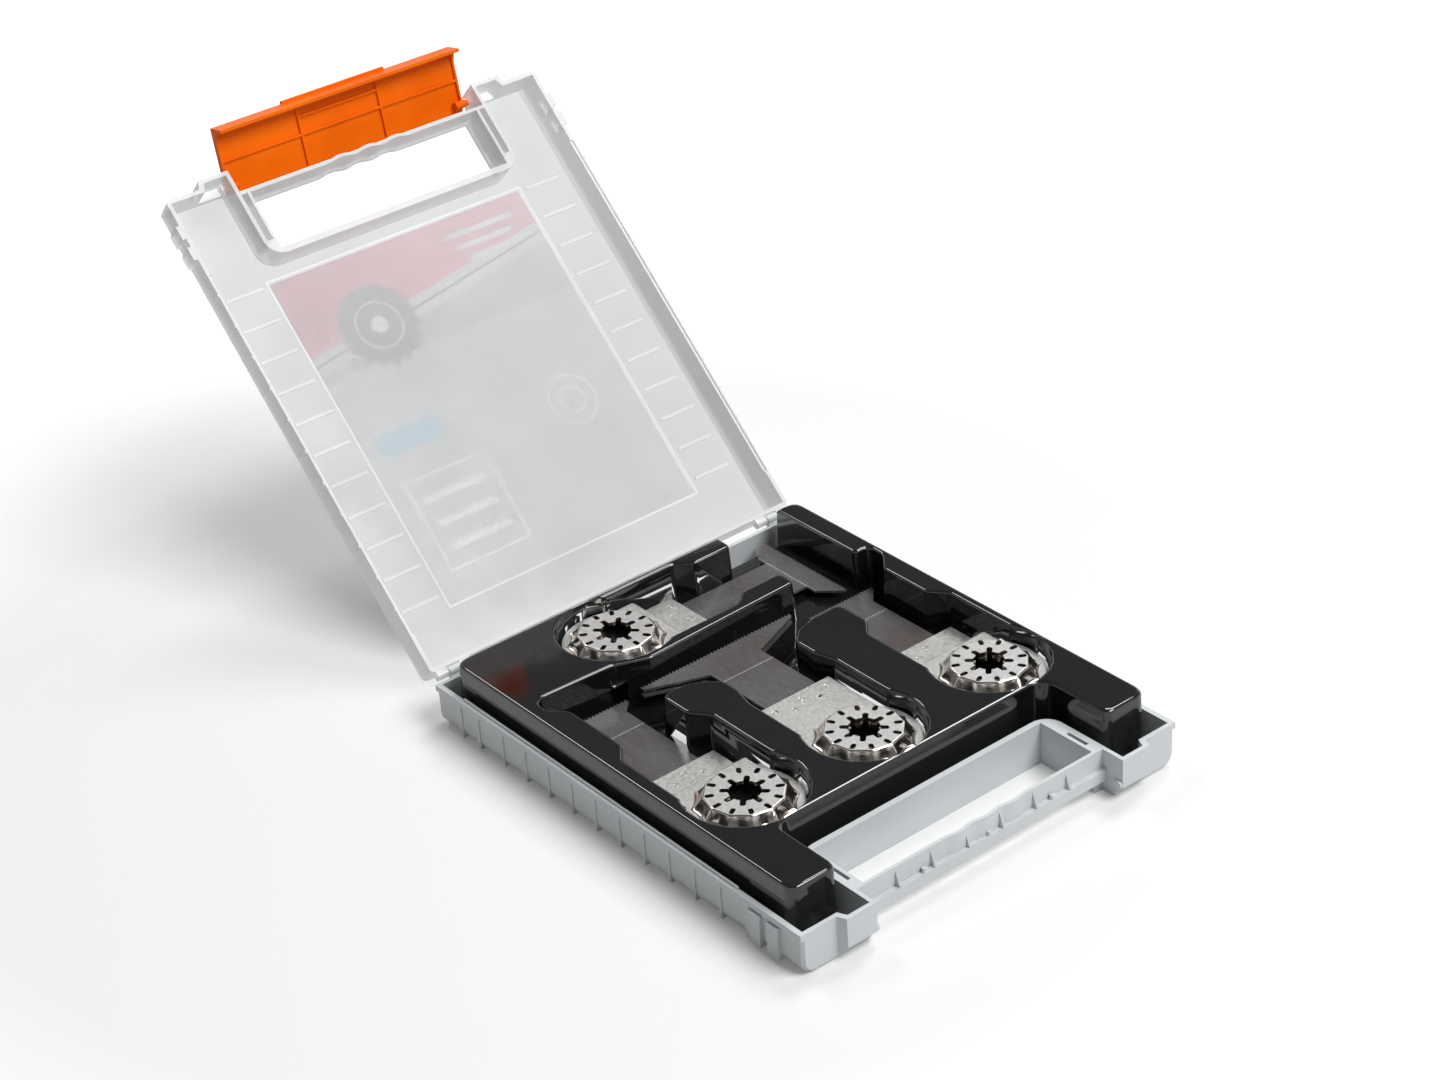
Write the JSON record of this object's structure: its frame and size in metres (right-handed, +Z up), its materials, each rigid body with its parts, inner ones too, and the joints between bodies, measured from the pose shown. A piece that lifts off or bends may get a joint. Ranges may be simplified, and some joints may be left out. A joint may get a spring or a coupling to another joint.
{
  "type": "saw blade storage case",
  "caption": "Flat storage case with a hinged clear lid, front latch flap, hand hole and a formed insert that holds saw blades for an oscillating tool.",
  "frame": {"origin": "centre of the base tray's flat underside", "axes": "+X along the hinge, +Y towards the hinge, -Y towards the carry handle, +Z up"},
  "size_m": [0.162, 0.3453, 0.1677],
  "materials": {
    "grey_plastic": "fine matt moulding, light grey",
    "clear_plastic": "frosted, see-through",
    "printed_card": "printed film, satin",
    "orange_plastic": "satin moulding, bright orange",
    "black_plastic": "high gloss formed sheet",
    "pin_steel": "plain drawn wire",
    "arm_steel": "brushed and polished",
    "saw_steel": "dark coating, slight brown tint"
  },
  "bodies": {
    "base": {"base_tray": "grey_plastic", "hinge_pin_left": "pin_steel", "hinge_pin_right": "pin_steel"},
    "lid": {"lid_shell": "clear_plastic", "lid_label": "printed_card"},
    "latch": {"latch_flap": "orange_plastic"},
    "insert": {"blade_insert": "black_plastic"},
    "blade_left": {"blade_left_arm": "arm_steel", "blade_left_saw": "saw_steel"},
    "blade_centre_lower": {"blade_centre_lower_arm": "arm_steel", "blade_centre_lower_saw": "saw_steel"},
    "blade_centre_upper": {"blade_centre_upper_arm": "arm_steel", "blade_centre_upper_saw": "saw_steel"},
    "blade_right_lower": {"blade_right_lower_arm": "arm_steel", "blade_right_lower_saw": "saw_steel"},
    "blade_right_upper": {"blade_right_upper_arm": "arm_steel", "blade_right_upper_saw": "saw_steel"},
    "blade_rear": {"blade_rear_arm": "arm_steel", "blade_rear_saw": "saw_steel"}
  },
  "joints": [
    {"name": "lid_hinge", "type": "hinge", "parent": "base", "child": "lid", "pos_m": [0, 0.0969, 0.0172], "axis": [-1, 0, 0], "range_deg": [-135.9, 0]},
    {"name": "latch_hinge", "type": "hinge", "parent": "lid", "child": "latch", "pos_m": [0, 0.24028, 0.14557], "axis": [-1, 0, 0], "range_deg": [-54, 0]},
    {"name": "insert_lift", "type": "slide", "parent": "base", "child": "insert", "axis": [0, 0, 1], "range_m": [0, 0.03]},
    {"name": "blade_left_lift", "type": "slide", "parent": "insert", "child": "blade_left", "axis": [0, 0, 1], "range_m": [0, 0.03]},
    {"name": "blade_centre_lower_lift", "type": "slide", "parent": "insert", "child": "blade_centre_lower", "axis": [0, 0, 1], "range_m": [0, 0.03]},
    {"name": "blade_centre_upper_lift", "type": "slide", "parent": "blade_centre_lower", "child": "blade_centre_upper", "axis": [0, 0, 1], "range_m": [0, 0.03]},
    {"name": "blade_right_lower_lift", "type": "slide", "parent": "insert", "child": "blade_right_lower", "axis": [0, 0, 1], "range_m": [0, 0.03]},
    {"name": "blade_right_upper_lift", "type": "slide", "parent": "blade_right_lower", "child": "blade_right_upper", "axis": [0, 0, 1], "range_m": [0, 0.03]},
    {"name": "blade_rear_lift", "type": "slide", "parent": "insert", "child": "blade_rear", "axis": [0, 0, 1], "range_m": [0, 0.03]}
  ]
}
